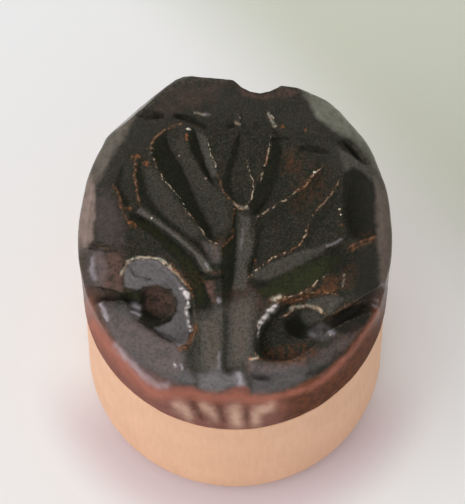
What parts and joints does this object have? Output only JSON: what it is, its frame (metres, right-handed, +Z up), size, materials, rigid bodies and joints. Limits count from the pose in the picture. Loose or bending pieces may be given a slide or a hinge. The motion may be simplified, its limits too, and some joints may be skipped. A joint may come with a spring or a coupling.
{
  "type": "stamp seal",
  "caption": "Small upright stamp seal: a dark head with a leaning, knife-carved face showing a tree and sunk eyes, on a pale, plain, turned shank.",
  "frame": {"origin": "centre of the shank's flat underside, on the surface that the seal stands on", "axes": "+Z up the shank towards the carved face; -Y towards the low front of the leaning face, +Y towards its notched back; +X to the right as the tree is seen upright"},
  "size_m": [0.0186, 0.0194, 0.021],
  "materials": {
    "dark_head": "near-black brown, worn satin on the face and a glossier red-brown on the side",
    "pale_shank": "pale peach, smooth and dull"
  },
  "bodies": {
    "root": {"carved_head": "dark_head", "shank": "pale_shank"}
  },
  "joints": []
}
